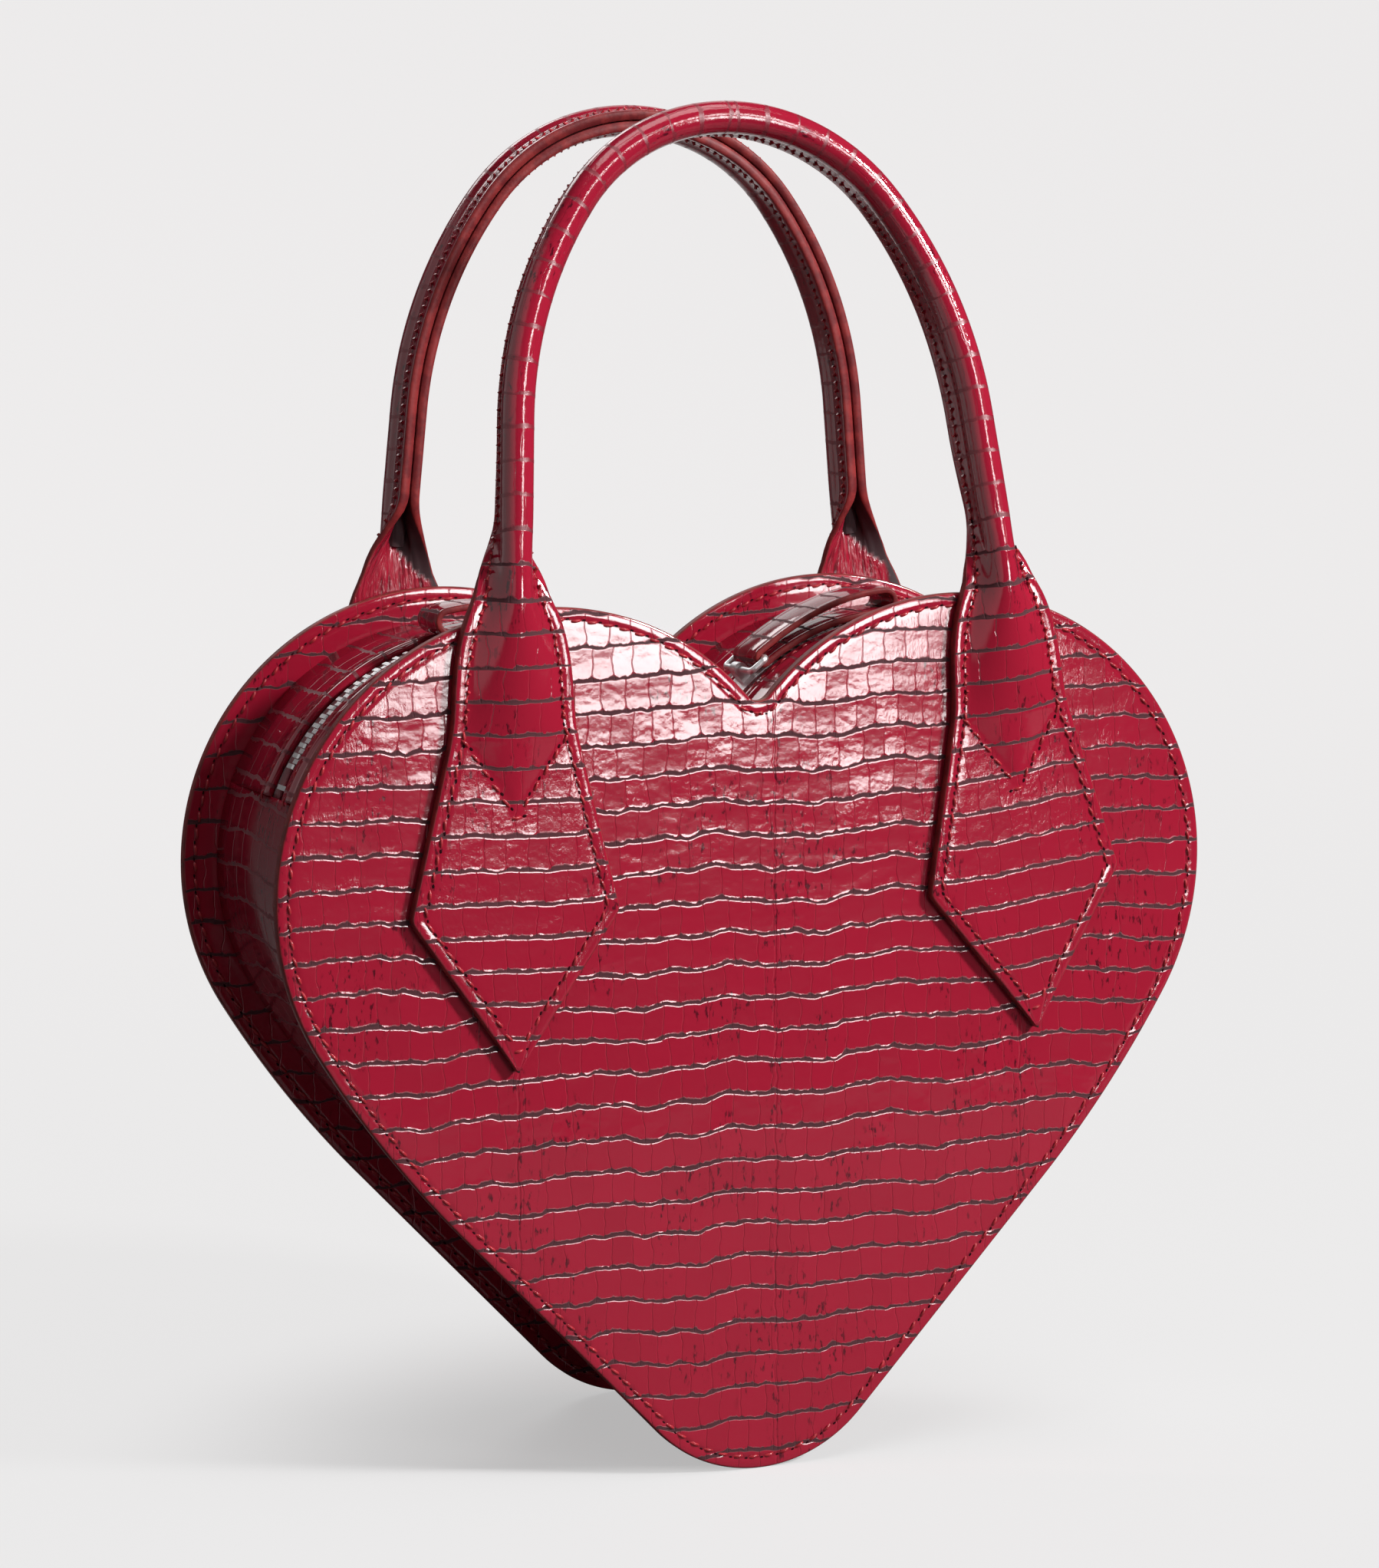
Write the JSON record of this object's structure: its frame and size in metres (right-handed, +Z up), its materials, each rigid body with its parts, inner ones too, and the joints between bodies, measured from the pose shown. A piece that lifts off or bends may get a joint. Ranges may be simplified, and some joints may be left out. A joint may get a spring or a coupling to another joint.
{
  "type": "heart shaped purse",
  "caption": "Stiff heart shaped handbag in glossy red crocodile-grain leather, with a zip over both lobes and rolled top handles on kite shaped tabs.",
  "frame": {"origin": "underside of the front handle's crown, where a hand or hook carries the bag", "axes": "+X to the right of the bag seen from the front, +Y from the front panel to the back panel, +Z up"},
  "size_m": [0.24, 0.0958, 0.3304],
  "materials": {
    "panel_leather": "glossy crocodile-grain leather, deep red",
    "panel_facing": "glossy crocodile-grain leather, deep red",
    "stiffener_board": "bonded leather board",
    "gusset_leather": "glossy crocodile-grain leather, deep red",
    "tab_leather": "glossy crocodile-grain leather, deep red",
    "tab_backing": "smooth leather with painted edges",
    "handle_leather": "glossy crocodile-grain leather, rolled and stitched",
    "handle_cord": "twisted cotton cord",
    "strap_leather": "doubled leather with painted edges",
    "zip_tape": "woven zip tape",
    "zip_metal": "polished silver-coloured metal",
    "lining_cloth": "plain woven lining cloth"
  },
  "bodies": {
    "bag": {"front_panel_leather": "panel_leather", "front_panel_board": "stiffener_board", "front_panel_facing": "panel_facing", "back_panel_leather": "panel_leather", "back_panel_board": "stiffener_board", "back_panel_facing": "panel_facing", "gusset_base": "gusset_leather", "gusset_front_strip": "gusset_leather", "gusset_back_strip": "gusset_leather", "zip_tape_front": "zip_tape", "zip_tape_back": "zip_tape", "zip_teeth_front": "zip_metal", "zip_teeth_back": "zip_metal", "zip_end_stops": "zip_metal", "lining_front": "lining_cloth", "lining_back": "lining_cloth", "lining_gusset": "lining_cloth", "front_left_tab": "tab_leather", "front_right_tab": "tab_leather", "back_left_tab": "tab_leather", "back_right_tab": "tab_leather", "front_left_tab_backing": "tab_backing", "front_right_tab_backing": "tab_backing", "back_left_tab_backing": "tab_backing", "back_right_tab_backing": "tab_backing"},
    "front_handle": {"front_handle_cover": "handle_leather", "front_handle_core": "handle_cord"},
    "back_handle": {"back_handle_cover": "handle_leather", "back_handle_core": "handle_cord"},
    "left_slider": {"left_slider": "zip_metal"},
    "right_slider": {"right_slider": "zip_metal"},
    "left_pull": {"left_pull_frame": "zip_metal", "left_pull_strap": "strap_leather"},
    "right_pull": {"right_pull_frame": "zip_metal", "right_pull_strap": "strap_leather"}
  },
  "joints": [
    {"name": "front_handle_hinge", "type": "hinge", "parent": "bag", "child": "front_handle", "pos_m": [0, -0.02013, -0.10355], "axis": [1, 0, 0], "range_deg": [-7.4, 86], "stiffness_Nm_per_rad": 0.4},
    {"name": "back_handle_hinge", "type": "hinge", "parent": "bag", "child": "back_handle", "pos_m": [0, 0.06787, -0.10355], "axis": [-1, 0, 0], "range_deg": [-16.1, 77], "stiffness_Nm_per_rad": 0.4},
    {"name": "left_slider_travel", "type": "hinge", "parent": "bag", "child": "left_slider", "pos_m": [-0.05299, 0.02387, -0.17676], "axis": [0, -1, 0], "range_deg": [-15, 85]},
    {"name": "right_slider_travel", "type": "hinge", "parent": "bag", "child": "right_slider", "pos_m": [0.05299, 0.02387, -0.17676], "axis": [0, 1, 0], "range_deg": [0, 100]},
    {"name": "left_pull_swing", "type": "hinge", "parent": "left_slider", "child": "left_pull", "pos_m": [-0.02572, 0.02387, -0.12085], "axis": [0, 1, 0], "range_deg": [0, 60]},
    {"name": "right_pull_swing", "type": "hinge", "parent": "right_slider", "child": "right_pull", "pos_m": [0.01218, 0.02387, -0.12981], "axis": [0, -1, 0], "range_deg": [0, 60]}
  ]
}
